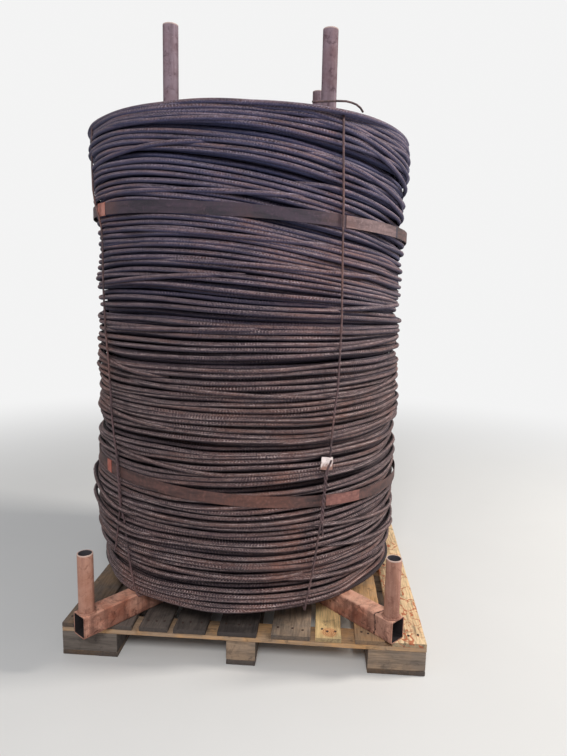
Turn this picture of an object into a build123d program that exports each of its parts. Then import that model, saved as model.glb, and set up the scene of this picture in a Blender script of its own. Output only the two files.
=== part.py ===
"""A tall coil of ribbed reinforcing bar on its steel coil rack and timber pallet.

Millimetres, +Z up. The origin is on the floor under the middle of the pallet, X runs to the
right along the pallet's front edge and Y runs away from that edge.
"""

import os
from math import cos, degrees, radians, sin, tan

from build123d import *

# Timber pallet
pallet_width = 1219.0
pallet_depth = 1100.0
deck_thickness = 16.0
stringer_thickness = 15.0
block_height = 69.0
bottom_thickness = 16.0
corner_block_width = 190.0
middle_block_width = 98.0
block_depth = 90.0
wide_board = 131.0
common_board = 110.0
narrow_board = 98.0
slim_board = 87.0
# Deck boards from left to right, and how they share out the gaps between them.
deck_widths = (
    common_board,
    common_board,
    narrow_board,
    common_board,
    wide_board,
    wide_board,
    slim_board,
    narrow_board,
    common_board,
)
gap_shares = (18, 26, 18, 39, 47, 15, 44, 24)

# Steel rack: two crossed box beams with pipes standing on them
rack_x = -46.0
rack_y = 0.0
beam_width = 63.5
beam_height = 76.2
beam_wall = 4.8
beam_corner = 7.0
beam_reach = 780.0
left_beam_bearing = 52.8
right_beam_bearing = -44.2
pipe_diameter = 50.8
pipe_wall = 4.0
post_offset = 394.0
post_height = 1894.0
short_post_height = 1838.0
stub_height = 201.0
stub_inset = 28.0

# Coil of bar
coil_x = -50.0
coil_y = 30.0
coil_diameter = 1196.0
bore_diameter = 890.0
coil_height = 1596.0
turn_ridge = 4.0
groove_depth = 16.0
groove_width = 30.0
turns_across = 9
# Bundles that the turns lie in, from the bottom up: each one's share of the coil's height, and
# how far it is drawn in from the coil's outside.
bundles = (
    (84, 0.0),
    (156, 0.0),
    (309, 0.0),
    (266, 3.0),
    (140, 4.0),
    (254, 9.0),
    (201, 0.0),
    (89, 0.0),
    (89, 0.0),
)

# Steel bands round the coil
band_height = 38.0
band_thickness = 1.3
upper_band_rise = 1282.5
upper_band_tilt = 2.9
lower_band_rise = 390.5
lower_band_tilt = 3.9
upper_seal_length = 72.0
lower_seal_length = 36.0
seal_height = 43.0
seal_thickness = 1.6
upper_seal_bearing = -141.2
lower_seal_bearing = -138.8

# Tie rods bent round the coil's wall, from the bore over the top to the outside
rod_diameter = 6.5
rod_bend = 5.0
tag_height = 38.0
tag_length = 33.0
tag_thickness = 0.8
tag_share = 0.905
# Bearings and heights along each tie rod's outside run, from the top down. The heights are shares
# of the coil's height, and the last two points are the lap of the rod's two ends.
front_right_run = ((-54.2, 0.70), (-54.3, 0.52), (-57.4, 0.287), (-59.6, 0.186))
front_left_run = (
    (-149.0, 0.88),
    (-141.2, 0.838),
    (-139.6, 0.795),
    (-139.5, 0.63),
    (-133.5, 0.312),
    (-129.8, 0.174),
)
back_right_run = ((31.0, 0.63), (29.0, 0.38), (30.5, 0.23), (31.0, 0.142))
back_left_run = ((116.0, 0.66), (118.0, 0.41), (117.0, 0.255), (116.2, 0.161))
# Bearings along the loose rod on top and its height there, as shares of its arch.
loose_run = ((-66.0, 0.0), (-61.0, 0.5), (-53.0, 1.0), (-49.0, 0.36), (-46.0, 0.0))
loose_arch = 22.0

# Clearance between touching pieces
seat_gap = 0.3

bottom_top = bottom_thickness
block_top = bottom_top + block_height
stringer_top = block_top + stringer_thickness
deck_top = stringer_top + deck_thickness
beam_top = deck_top + beam_height
coil_bottom = beam_top + seat_gap
coil_top = coil_bottom + coil_height
coil_radius = coil_diameter / 2
bore_radius = bore_diameter / 2
band_inner = coil_radius + seat_gap
band_outer = band_inner + band_thickness
rod_radius = rod_diameter / 2
rod_outside = band_outer + seal_thickness + seat_gap + rod_radius
rod_inside = bore_radius - seat_gap - rod_radius
rod_over = coil_top + seat_gap + rod_radius
rod_under = coil_bottom - seat_gap - rod_radius
upper_band_z = coil_bottom + upper_band_rise
lower_band_z = coil_bottom + lower_band_rise


def bearing_direction(bearing):
    """Level unit vector at a bearing in degrees, counted from +X towards +Y."""
    return Vector(cos(radians(bearing)), sin(radians(bearing)), 0)


def at_rack(bearing, distance, height):
    """Point at a distance from the rack's middle."""
    return Vector(rack_x, rack_y, height) + bearing_direction(bearing) * distance


def at_coil(bearing, distance, height):
    """Point at a distance from the coil's axis."""
    return Vector(coil_x, coil_y, height) + bearing_direction(bearing) * distance


def finish(piece, name):
    """Label a finished piece and write it to its own file."""
    piece.part.label = name
    export_step(piece.part, f"parts/{name}.step")


def timber(x_low, x_size, y_low, y_size, z_low, z_size):
    """Sawn timber with square edges."""
    with BuildPart() as piece:
        with BuildSketch(Plane.XY.offset(z_low)):
            with Locations((x_low, y_low)):
                Rectangle(x_size, y_size, align=(Align.MIN, Align.MIN))
        extrude(amount=z_size)
    return piece


def box_beam(bearing, start, end):
    """Rectangular hollow section lying on the deck along a line through the rack's middle."""
    along = bearing_direction(bearing)
    across = bearing_direction(bearing + 90)
    middle_height = deck_top + beam_height / 2
    section = Plane(at_rack(bearing, start, middle_height), x_dir=across, z_dir=along)
    with BuildPart() as piece:
        with BuildSketch(section):
            RectangleRounded(beam_width, beam_height, beam_corner)
            offset(amount=-beam_wall, mode=Mode.SUBTRACT)
        extrude(amount=end - start)
    return piece


def welded_arm(bearing, through_bearing):
    """Half beam whose inner end is cut to butt against the side of the through beam."""
    arm = box_beam(bearing, 0, beam_reach)
    side = bearing_direction(through_bearing)
    if side.dot(bearing_direction(bearing)) < 0:
        side = -side
    joint_face = Plane(Vector(rack_x, rack_y, 0) + side * (beam_width / 2), z_dir=side)
    with BuildPart() as piece:
        add(arm.part)
        split(bisect_by=joint_face, keep=Keep.TOP)
    return piece


def pipe(bearing, distance, height):
    """Open pipe standing on a beam."""
    with BuildPart() as piece:
        with BuildSketch(Plane(at_rack(bearing, distance, beam_top))):
            Circle(pipe_diameter / 2)
            Circle(pipe_diameter / 2 - pipe_wall, mode=Mode.SUBTRACT)
        extrude(amount=height)
    return piece


def leaning_ring(inner, outer, height, centre_z, tilt):
    """Upright ring round the coil whose edges lean down to the right."""
    reach = height + outer * tan(radians(tilt))
    normal = Vector(sin(radians(tilt)), 0, cos(radians(tilt)))
    centre = Vector(coil_x, coil_y, centre_z)
    with BuildPart() as piece:
        with BuildSketch(Plane(centre - Vector(0, 0, reach))):
            Circle(outer)
            Circle(inner, mode=Mode.SUBTRACT)
        extrude(amount=2 * reach)
        split(bisect_by=Plane(centre + normal * (height / 2), z_dir=normal), keep=Keep.BOTTOM)
        split(bisect_by=Plane(centre - normal * (height / 2), z_dir=normal), keep=Keep.TOP)
    return piece


def band_seal(bearing, length, centre_z, tilt):
    """Folded sleeve that grips both edges of a band and covers its face."""
    sleeve = leaning_ring(band_inner, band_outer + seal_thickness, seal_height, centre_z, tilt)
    slot = leaning_ring(
        band_inner - seat_gap, band_outer + seat_gap / 2, band_height + seat_gap, centre_z, tilt
    )
    outward = bearing_direction(bearing)
    face = Plane(at_coil(bearing, 0, centre_z), x_dir=bearing_direction(bearing + 90), z_dir=outward)
    with BuildPart() as piece:
        add(sleeve.part)
        add(slot.part, mode=Mode.SUBTRACT)
        with BuildSketch(face):
            Rectangle(length, coil_radius)
        extrude(amount=coil_diameter, mode=Mode.INTERSECT)
    return piece


def straight_run(start, end, start_normal, end_normal):
    """Length of round rod whose two ends are cut along the mitres that it shares."""
    along = (end - start).normalized()
    with BuildPart() as piece:
        with BuildSketch(Plane(start - along * rod_diameter, z_dir=along)):
            Circle(rod_radius)
        extrude(amount=(end - start).length + 2 * rod_diameter)
        split(bisect_by=Plane(start, z_dir=start_normal), keep=Keep.TOP)
        split(bisect_by=Plane(end, z_dir=end_normal), keep=Keep.BOTTOM)
    return piece


def bent_rod(points):
    """Round rod along straight runs that meet in mitres."""
    runs = list(zip(points, points[1:]))
    headings = [(end - start).normalized() for start, end in runs]
    mitres = [before + after for before, after in zip(headings, headings[1:])]
    normals = [headings[0], *mitres, headings[-1]]
    with BuildPart() as piece:
        for (start, end), start_normal, end_normal in zip(runs, normals, normals[1:]):
            add(straight_run(start, end, start_normal, end_normal).part)
    return piece


def tie_rod(top_bearing, outside_run, inside_bearing, under_bearing):
    """Rod bent round the coil's wall, with its two ends lapped side by side on the outside."""
    lap_step = degrees((rod_diameter + seat_gap) / rod_outside)
    outside = [
        at_coil(bearing, rod_outside, coil_bottom + share * coil_height) for bearing, share in outside_run
    ]
    first_lap = [
        at_coil(bearing + lap_step, rod_outside, coil_bottom + share * coil_height)
        for bearing, share in outside_run[-2:]
    ]
    corners = [
        at_coil(under_bearing, rod_outside, rod_under),
        at_coil(inside_bearing, rod_inside, rod_under),
        at_coil(inside_bearing, rod_inside, rod_over),
        at_coil(top_bearing, rod_outside, rod_over),
    ]
    befores = [first_lap[-1], *corners[:-1]]
    afters = [*corners[1:], outside[0]]
    bends = []
    for before, corner, after in zip(befores, corners, afters):
        bends.append(corner + (before - corner).normalized() * rod_bend)
        bends.append(corner + (after - corner).normalized() * rod_bend)
    return bent_rod([*first_lap, *bends, *outside])


os.makedirs("parts", exist_ok=True)

# Deck boards run from the front edge to the back, with uneven gaps.
all_gaps = pallet_width - sum(deck_widths)
left_edge = -pallet_width / 2
for number, board_width in enumerate(deck_widths, start=1):
    board = timber(left_edge, board_width, -pallet_depth / 2, pallet_depth, stringer_top, deck_thickness)
    finish(board, f"deck_board_{number}")
    if number <= len(gap_shares):
        left_edge += board_width + all_gaps * gap_shares[number - 1] / sum(gap_shares)

# Blocks stand in three rows of three. A stringer board lies along each row, and a bottom board
# runs under each column.
block_columns = (
    (-pallet_width / 2, corner_block_width),
    (-middle_block_width / 2, middle_block_width),
    (pallet_width / 2 - corner_block_width, corner_block_width),
)
block_rows = (-pallet_depth / 2, -block_depth / 2, pallet_depth / 2 - block_depth)
for row, row_y in enumerate(block_rows, start=1):
    stringer = timber(-pallet_width / 2, pallet_width, row_y, block_depth, block_top, stringer_thickness)
    finish(stringer, f"stringer_board_{row}")
    for column, (column_x, column_width) in enumerate(block_columns, start=1):
        block = timber(column_x, column_width, row_y, block_depth, bottom_top, block_height)
        finish(block, f"block_{row}_{column}")
for column, (column_x, column_width) in enumerate(block_columns, start=1):
    bottom = timber(column_x, column_width, -pallet_depth / 2, pallet_depth, 0, bottom_thickness)
    finish(bottom, f"bottom_board_{column}")

# One beam runs through from the front left to the back right, and two half beams are welded
# to its sides.
rack_beam = box_beam(left_beam_bearing, -beam_reach, beam_reach)
finish(rack_beam, "rack_beam")
through_side = left_beam_bearing - 90
front_right_arm = welded_arm(right_beam_bearing, through_side)
finish(front_right_arm, "rack_arm_front_right")
back_left_arm = welded_arm(right_beam_bearing + 180, through_side)
finish(back_left_arm, "rack_arm_back_left")

# Each half of a beam carries a tall post inside the coil's bore and a short stub at its end.
arm_bearings = {
    "front_left": left_beam_bearing + 180,
    "front_right": right_beam_bearing,
    "back_left": right_beam_bearing + 180,
    "back_right": left_beam_bearing,
}
# The back left post is a little shorter and ends out of sight behind the coil's rim.
for place, bearing in arm_bearings.items():
    height = short_post_height if place == "back_left" else post_height
    post = pipe(bearing, post_offset, height)
    finish(post, f"rack_post_{place}")
    stub = pipe(bearing, beam_reach - stub_inset, stub_height)
    finish(stub, f"rack_stub_{place}")

# The coil is one turned solid. Ridges on both ends show the turns across its wall, and grooves
# round its outside part the bundles that the turns lie in.
end_low = coil_bottom + turn_ridge
end_high = coil_top - turn_ridge
turn_pitch = (coil_radius - bore_radius) / turns_across
coil_section = Plane((coil_x, coil_y, 0), x_dir=(1, 0, 0), z_dir=(0, -1, 0))
with BuildPart() as rebar_coil:
    with BuildSketch(coil_section):
        with BuildLine():
            Line((bore_radius, end_low), (bore_radius, end_high))
            for turn in range(turns_across):
                inner = bore_radius + turn * turn_pitch
                crest = inner + turn_pitch / 2
                outer = inner + turn_pitch
                Polyline((inner, end_high), (crest, coil_top), (outer, end_high))
                Polyline((inner, end_low), (crest, coil_bottom), (outer, end_low))
            outside = [(coil_radius, end_low)]
            bundle_end = end_low
            for (share, drawn_in), (_, next_drawn_in) in zip(bundles, bundles[1:]):
                bundle_end += (end_high - end_low) * share / sum(share for share, _ in bundles)
                outside.append((coil_radius - drawn_in, bundle_end - groove_width / 2))
                outside.append((coil_radius - groove_depth, bundle_end))
                outside.append((coil_radius - next_drawn_in, bundle_end + groove_width / 2))
            Polyline(*outside, (coil_radius, end_high))
        make_face()
    revolve(axis=Axis((coil_x, coil_y, 0), (0, 0, 1)))
finish(rebar_coil, "rebar_coil")

# Two steel bands hold the turns together. Each has a folded seal at its left.
band_upper = leaning_ring(band_inner, band_outer, band_height, upper_band_z, upper_band_tilt)
finish(band_upper, "band_upper")
band_lower = leaning_ring(band_inner, band_outer, band_height, lower_band_z, lower_band_tilt)
finish(band_lower, "band_lower")
seal_upper = band_seal(upper_seal_bearing, upper_seal_length, upper_band_z, upper_band_tilt)
finish(seal_upper, "seal_upper")
seal_lower = band_seal(lower_seal_bearing, lower_seal_length, lower_band_z, lower_band_tilt)
finish(seal_lower, "seal_lower")

# Four tie rods hold the coil's wall, and each stands clear of the rack's arms and posts.
finish(tie_rod(-55.9, front_right_run, -61.0, -64.0), "tie_rod_front_right")
finish(tie_rod(-149.0, front_left_run, -117.0, -121.0), "tie_rod_front_left")
finish(tie_rod(30.0, back_right_run, 30.0, 31.0), "tie_rod_back_right")
finish(tie_rod(117.0, back_left_run, 118.0, 116.0), "tie_rod_back_left")

# A bent rod lies loose on the outermost turn.
loose_radius = coil_radius - turn_pitch / 2
loose_points = [
    at_coil(bearing, loose_radius, rod_over + rise * loose_arch) for bearing, rise in loose_run
]
finish(bent_rod(loose_points), "loose_rod")

# A small blank tag is folded round the front right rod and points to the left.
tag_above, tag_below = front_right_run[1:3]
rod_above = at_coil(tag_above[0], rod_outside, coil_bottom + tag_above[1] * coil_height)
rod_below = at_coil(tag_below[0], rod_outside, coil_bottom + tag_below[1] * coil_height)
rod_line = (rod_above - rod_below).normalized()
tag_middle = rod_above + (rod_below - rod_above) * tag_share
tag_plane = Plane(tag_middle, x_dir=bearing_direction(tag_below[0] - 90), z_dir=rod_line)
with BuildPart() as tie_tag:
    with BuildSketch(tag_plane):
        Circle(rod_radius + seat_gap + tag_thickness)
        Rectangle(tag_length, 2 * tag_thickness, align=(Align.MIN, Align.CENTER))
        Circle(rod_radius + seat_gap, mode=Mode.SUBTRACT)
    extrude(amount=tag_height / 2, both=True)
finish(tie_tag, "tie_tag")
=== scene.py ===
from math import atan2, cos, degrees, pi, radians, sin, tan

import bpy
from mathutils import Matrix, Vector, noise


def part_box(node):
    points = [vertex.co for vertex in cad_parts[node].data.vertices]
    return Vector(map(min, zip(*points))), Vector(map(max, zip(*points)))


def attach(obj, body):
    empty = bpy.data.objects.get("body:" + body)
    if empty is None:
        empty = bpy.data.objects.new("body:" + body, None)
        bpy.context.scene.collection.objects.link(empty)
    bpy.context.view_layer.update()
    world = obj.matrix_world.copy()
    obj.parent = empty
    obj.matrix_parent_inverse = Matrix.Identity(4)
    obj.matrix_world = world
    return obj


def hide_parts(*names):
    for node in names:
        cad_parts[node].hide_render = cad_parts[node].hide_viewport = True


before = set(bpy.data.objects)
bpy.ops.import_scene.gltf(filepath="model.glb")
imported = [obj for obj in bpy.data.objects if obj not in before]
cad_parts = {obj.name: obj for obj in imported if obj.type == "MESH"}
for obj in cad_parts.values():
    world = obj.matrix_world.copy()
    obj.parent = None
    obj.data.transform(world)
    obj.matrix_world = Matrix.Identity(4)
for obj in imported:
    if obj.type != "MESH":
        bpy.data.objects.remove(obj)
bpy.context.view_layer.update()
scene = bpy.context.scene
scene.view_settings.view_transform = "Standard"


# Camera: a little right of the object's middle, at chest height, looking slightly down and
# turned a little, which is the photograph's viewing angle.
photo_height = 756
focal_pixels = 577.15
camera_place = (0.2387, -2.3067, 1.2333)
camera_yaw = radians(-3.74)
camera_dip = radians(8.37)
camera_roll = radians(1.22)
ahead = Vector((sin(camera_yaw) * cos(camera_dip), cos(camera_yaw) * cos(camera_dip), -sin(camera_dip)))
level_right = Vector((cos(camera_yaw), -sin(camera_yaw), 0))
level_up = level_right.cross(ahead)
camera_right = level_right * cos(camera_roll) + level_up * sin(camera_roll)
camera_up = level_up * cos(camera_roll) - level_right * sin(camera_roll)
camera_data = bpy.data.cameras.new("camera")
camera_data.sensor_width = 36
camera_data.lens = focal_pixels / photo_height * camera_data.sensor_width
camera = bpy.data.objects.new("camera", camera_data)
turned = Matrix((camera_right, camera_up, -ahead)).transposed().to_4x4()
camera.matrix_world = Matrix.Translation(camera_place) @ turned
scene.collection.objects.link(camera)
scene.camera = camera


# Studio: a plain pale floor, a white surround that only the camera and reflections see, and
# soft lamps. The stronger lamp stands at the right, where the photograph's light comes from.
def add_node(tree, kind, inputs=(), **settings):
    """Shader node with its settings. An input value that is a socket is linked."""
    made = tree.nodes.new(f"ShaderNode{kind}")
    for key, value in settings.items():
        setattr(made, key, value)
    for key, value in dict(inputs).items():
        if isinstance(value, bpy.types.NodeSocket):
            tree.links.new(value, made.inputs[key])
        else:
            made.inputs[key].default_value = value
    return made


def tint(red, green, blue):
    """Colour written as it looks on a screen, from 0 to 255."""
    parts = []
    for part in (red, green, blue):
        share = part / 255
        parts.append(share / 12.92 if share <= 0.04045 else ((share + 0.055) / 1.055) ** 2.4)
    return (*parts, 1)


def tree_of(*values):
    """Node tree of the first socket among some values."""
    return next(value.id_data for value in values if isinstance(value, bpy.types.NodeSocket))


def link(source, target):
    """Join two sockets."""
    source.id_data.links.new(source, target)


def mathematics(operation, first, second=0.0):
    """Result of one sum on values or sockets."""
    tree = tree_of(first, second)
    return add_node(tree, "Math", {0: first, 1: second}, operation=operation).outputs[0]


def product(first, second):
    """First times second."""
    return mathematics("MULTIPLY", first, second)


def total(first, second):
    """First and second together."""
    return mathematics("ADD", first, second)


def less(first, second):
    """First less second."""
    return mathematics("SUBTRACT", first, second)


def mixed(factor, first, second, blend="MIX"):
    """Colour mixed from two colours or sockets."""
    values = {0: factor, 6: first, 7: second}
    made = add_node(tree_of(factor, first, second), "Mix", values, data_type="RGBA")
    made.blend_type = blend
    return made.outputs[2]


def ranged(value, low, high, new_low=0.0, new_high=1.0):
    """Value carried smoothly from one range to another."""
    limits = {0: value, 1: low, 2: high, 3: new_low, 4: new_high}
    return add_node(value.id_data, "MapRange", limits, interpolation_type="SMOOTHSTEP").outputs[0]


def cloudy(place, scale, detail=4.0, roughness=0.6, distortion=0.0):
    """Soft random value over a place."""
    values = {"Vector": place, "Scale": scale, "Detail": detail, "Roughness": roughness}
    return add_node(place.id_data, "TexNoise", {**values, "Distortion": distortion}).outputs[0]


def new_material(name, roughness=0.5, specular=0.5):
    """Plain material with its shader and output joined."""
    made = bpy.data.materials.new(name)
    made.use_nodes = True
    tree = made.node_tree
    tree.nodes.clear()
    shader = add_node(tree, "BsdfPrincipled", {"Roughness": roughness, "Specular IOR Level": specular})
    add_node(tree, "OutputMaterial", {"Surface": shader.outputs[0]})
    return made, tree, shader


def paint(shader, tone):
    """Feed a tone to a shader's colour."""
    link(tone, shader.inputs["Base Color"])


bpy.ops.mesh.primitive_plane_add(size=40, location=(0, 8, 0))
floor = bpy.context.object
floor.name = "floor"
floor_finish, tree, shader = new_material("pale_floor", roughness=1.0, specular=0.0)
floor_place = add_node(tree, "TexCoord").outputs["Object"]
floor_tone = mixed(cloudy(floor_place, 1.5), tint(226, 224, 221), tint(232, 230, 227))
paint(shader, floor_tone)
under_unit = {0: floor_place, 1: (0, -8, 0)}
far_off = add_node(tree, "VectorMath", under_unit, operation="DISTANCE").outputs["Value"]
light_path = add_node(tree, "LightPath").outputs
faded = product(ranged(far_off, 1.2, 5.0), light_path["Is Camera Ray"])
pale_air = add_node(tree, "Emission", {"Color": (0.9, 0.9, 0.9, 1), "Strength": 1.0})
floor_output = tree.nodes["Material Output"]
fade = add_node(tree, "MixShader", {0: faded, 1: shader.outputs[0], 2: pale_air.outputs[0]})
link(fade.outputs[0], floor_output.inputs["Surface"])
floor.data.materials.append(floor_finish)

world = bpy.data.worlds.new("studio")
world.use_nodes = True
scene.world = world
tree = world.node_tree
tree.nodes.clear()
light_path = add_node(tree, "LightPath").outputs
seen = mathematics("MAXIMUM", light_path["Is Camera Ray"], light_path["Is Glossy Ray"])
seen = mathematics("MAXIMUM", seen, light_path["Is Transmission Ray"])
soft_sky = add_node(tree, "Background", {"Color": (0.92, 0.95, 1.0, 1), "Strength": 0.34})
surround = add_node(tree, "Background", {"Color": (0.9, 0.9, 0.9, 1), "Strength": 1.0})
both = add_node(tree, "MixShader", {0: seen, 1: soft_sky.outputs[0], 2: surround.outputs[0]})
add_node(tree, "OutputWorld", {"Surface": both.outputs[0]})


def soft_lamp(name, place, aim, width, watts, colour):
    """Square lamp that faces a point."""
    data = bpy.data.lights.new(name, "AREA")
    data.size = width
    data.energy = watts
    data.color = colour
    lamp = bpy.data.objects.new(name, data)
    turn = (Vector(aim) - Vector(place)).to_track_quat("-Z", "Y")
    lamp.matrix_world = Matrix.Translation(place) @ turn.to_matrix().to_4x4()
    scene.collection.objects.link(lamp)


soft_lamp("right_lamp", (4.8, 0.1, 3.6), (0, 0, 0.9), 1.1, 222, (1.0, 0.97, 0.92))
soft_lamp("front_lamp", (0.2, -4.6, 4.2), (0, 0, 0.9), 1.6, 158, (0.96, 0.98, 1.0))


# Pallet: softwood boards and blocks, sawn, nailed together and weathered grey. Each keeps the
# place of its CAD solid, with its edges worn round and its faces a little out of true.
vector_kind, colour_kind, number_kind = "NodeSocketVector", "NodeSocketColor", "NodeSocketFloat"


def new_group(name, places, colours, numbers):
    """Shader node group that takes the named inputs and gives a surface's tone and relief."""
    made = bpy.data.node_groups.new(name, "ShaderNodeTree")
    for kind, labels in ((vector_kind, places), (colour_kind, colours), (number_kind, numbers)):
        for label in labels:
            made.interface.new_socket(label, in_out="INPUT", socket_type=kind)
    for label, kind in (("Colour", colour_kind), ("Roughness", number_kind), ("Height", number_kind)):
        made.interface.new_socket(label, in_out="OUTPUT", socket_type=kind)
    return made, made.nodes.new("NodeGroupInput").outputs, made.nodes.new("NodeGroupOutput").inputs


grain_group, taken, given = new_group(
    "weathered grain", ("Along", "Place"), ("Heart", "Weathered", "Dark"), ("Weathering", "Sawn end")
)
rings = cloudy(taken["Along"], 26, 6, 0.62, 1.4)
fibre = cloudy(taken["Along"], 170, 3, 0.7)
blotch = cloudy(taken["Place"], 6, 6, 0.65)
grime = cloudy(taken["Place"], 19, 7, 0.72, 0.6)
wood = mixed(ranged(rings, 0.3, 0.52, 0.35, 1.0), taken["Dark"], taken["Heart"])
worn = product(ranged(blotch, 0.36, 0.6), taken["Weathering"])
wood = mixed(worn, wood, taken["Weathered"])
wood = mixed(ranged(fibre, 0.3, 0.6, 0.4, 0.0), wood, taken["Dark"], "MULTIPLY")
wood = mixed(ranged(grime, 0.53, 0.74, 0.0, 0.75), wood, taken["Dark"])
wood = mixed(product(taken["Sawn end"], 0.6), wood, taken["Dark"])
link(wood, given["Colour"])
link(ranged(blotch, 0.3, 0.7, 0.94, 0.74), given["Roughness"])
link(total(rings, product(fibre, 0.8)), given["Height"])


def placed(place, shift=(0, 0, 0), scale=(1, 1, 1)):
    """A place moved and stretched."""
    values = {"Vector": place, "Location": shift, "Scale": scale}
    return add_node(place.id_data, "Mapping", values).outputs[0]


def object_place(tree, shift=(0, 0, 0), scale=(1, 1, 1)):
    """Object coordinates, moved and stretched."""
    return placed(add_node(tree, "TexCoord").outputs["Object"], shift, scale)


def how_far(vector):
    """Length of a vector."""
    return add_node(vector.id_data, "VectorMath", {0: vector}, operation="LENGTH").outputs["Value"]


def apart(first, second):
    """How far two values lie apart."""
    return mathematics("ABSOLUTE", less(first, second))


def parts(vector):
    """X, Y and Z of a place or direction."""
    return add_node(vector.id_data, "SeparateXYZ", {0: vector}).outputs


def facing_parts(tree):
    """X, Y and Z of the way that a surface faces."""
    return parts(add_node(tree, "TexCoord").outputs["Normal"])


def join_surface(shader, group, distance, strength=1.0):
    """Feed a group's colour, roughness and relief to a shader."""
    paint(shader, group.outputs["Colour"])
    link(group.outputs["Roughness"], shader.inputs["Roughness"])
    values = {"Height": group.outputs["Height"], "Distance": distance, "Strength": strength}
    link(add_node(shader.id_data, "Bump", values).outputs[0], shader.inputs["Normal"])


def timber_finish(name, along, heart, weathered, weathering, seed):
    """Weathered wood whose grain runs along X or Y."""
    made, tree, shader = new_material(name)
    shift = (seed * 3.1, seed * 1.7, seed * 2.3)
    stretch = (0.07, 1, 1) if along == "x" else (1, 0.07, 1)
    end_on = mathematics("ABSOLUTE", facing_parts(tree)["xy".index(along)])
    values = {"Along": object_place(tree, shift, stretch), "Place": object_place(tree, shift)}
    values |= {"Heart": heart, "Weathered": weathered, "Dark": dark_wood, "Weathering": weathering}
    values["Sawn end"] = ranged(end_on, 0.6, 0.9)
    group = add_node(tree, "Group", values, node_tree=grain_group)
    join_surface(shader, group, 0.0012)
    return made, tree, shader, group


# Without a seed of their own, noise vectors change from run to run.
noise.seed_set(7)


def worn_timber(node, along, cuts, wear, seed, heart, weathered, weathering):
    """Board or block in its CAD solid's place, with worn edges, uneven faces and its own wood."""
    low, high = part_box(node)
    bpy.ops.mesh.primitive_cube_add(size=1, calc_uvs=False, location=(low + high) / 2)
    piece = bpy.context.object
    piece.name = f"worn_{node}"
    piece.scale = high - low
    bpy.ops.object.transform_apply()
    axis = "xyz".index(along)
    mesh = piece.data
    bpy.ops.object.mode_set(mode="EDIT")
    bpy.ops.mesh.select_mode(type="EDGE")
    bpy.ops.mesh.select_all(action="DESELECT")
    bpy.ops.object.mode_set(mode="OBJECT")
    for edge in mesh.edges:
        first, second = (mesh.vertices[corner].co for corner in edge.vertices)
        edge.select = abs(first[axis] - second[axis]) > 0.01
    bpy.ops.object.mode_set(mode="EDIT")
    bpy.ops.mesh.subdivide(number_cuts=cuts)
    bpy.ops.mesh.select_all(action="DESELECT")
    bpy.ops.mesh.edges_select_sharp(sharpness=radians(60))
    bpy.ops.mesh.bevel(offset=wear, segments=2, affect="EDGES")
    bpy.ops.object.mode_set(mode="OBJECT")
    for vertex in mesh.vertices:
        rough = noise.noise_vector(vertex.co * 9 + Vector((seed * 5.3, seed, 0)))
        fine = noise.noise_vector(vertex.co * 60 + Vector((0, seed * 2.9, seed)))
        vertex.co += rough * 0.0016 + fine * 0.0008
    bpy.ops.object.shade_smooth_by_angle(angle=radians(40))
    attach(piece, "root")
    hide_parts(node)
    name = node.replace("_board", "_timber").replace("block_", "block_timber_")
    finish, tree, shader, group = timber_finish(name, along, heart, weathered, weathering, seed)
    piece.data.materials.append(finish)
    return tree, shader, group


grey_wood, brown_wood, dark_wood = tint(108, 96, 88), tint(136, 110, 86), tint(50, 42, 40)
fresh_wood, orange_wood, pale_wood = tint(248, 214, 168), tint(206, 158, 108), tint(164, 138, 114)
shaded_wood = tint(112, 102, 94)
# Painted shade: boards three to six are painted darker. Painted light: board seven is painted paler than
# fresh wood.
deck_tones = (
    (brown_wood, grey_wood, 0.9),
    (brown_wood, grey_wood, 1.0),
    (grey_wood, dark_wood, 0.75),
    (grey_wood, dark_wood, 0.6),
    (grey_wood, dark_wood, 0.8),
    (pale_wood, shaded_wood, 0.8),
    (tint(255, 224, 166), tint(238, 190, 126), 0.5),
    (orange_wood, pale_wood, 0.7),
    (fresh_wood, orange_wood, 0.3),
)
for number, tones in enumerate(deck_tones, start=1):
    tree, shader, group = worn_timber(f"deck_board_{number}", "y", 15, 0.0025, number, *tones)
    if number == 7:
        # A knot near the front end of the board, with its rings in darker orange wood.
        low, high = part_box("deck_board_7")
        knot_aside, knot_back = 0.004, 0.034
        shift = (-(low.x + high.x) / 2 - knot_aside, -low.y - knot_back, 0)
        knot = object_place(tree, shift, (1, 1, 0))
        waver = product(cloudy(object_place(tree), 40), 0.014)
        knot = total(how_far(knot), waver)
        knot_rings = mathematics("SINE", product(knot, 900))
        knot_rings = ranged(knot_rings, -0.4, 0.8, 0.35, 1.0)
        knotty = product(ranged(knot, 0.040, 0.028, 0.0, 0.85), knot_rings)
        paint(shader, mixed(knotty, group.outputs["Colour"], tint(186, 104, 62)))

# The right board is fresh too, and thin orange rust stains curl over it.
curl = apart(cloudy(object_place(tree), 17, 2, 0.4, 1.2), 0.5)
stained_part = ranged(cloudy(object_place(tree), 5), 0.38, 0.5)
curl = product(ranged(curl, 0.034, 0.010), stained_part)
stained = mixed(product(curl, 0.85), group.outputs["Colour"], tint(176, 84, 44))
paint(shader, stained)
for row in (1, 2, 3):
    worn_timber(f"stringer_board_{row}", "x", 17, 0.002, 20 + row, orange_wood, pale_wood, 0.9)
    worn_timber(f"bottom_board_{row}", "y", 15, 0.002, 30 + row, brown_wood, grey_wood, 1.0)
    for column in (1, 2, 3):
        # Painted shade: the blocks of the first column are painted darker.
        tones = (shaded_wood, grey_wood) if column == 1 else (pale_wood, shaded_wood)
        worn_timber(f"block_{row}_{column}", "x", 5, 0.004, 40 + row * 3 + column, *tones, 0.6)


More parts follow.
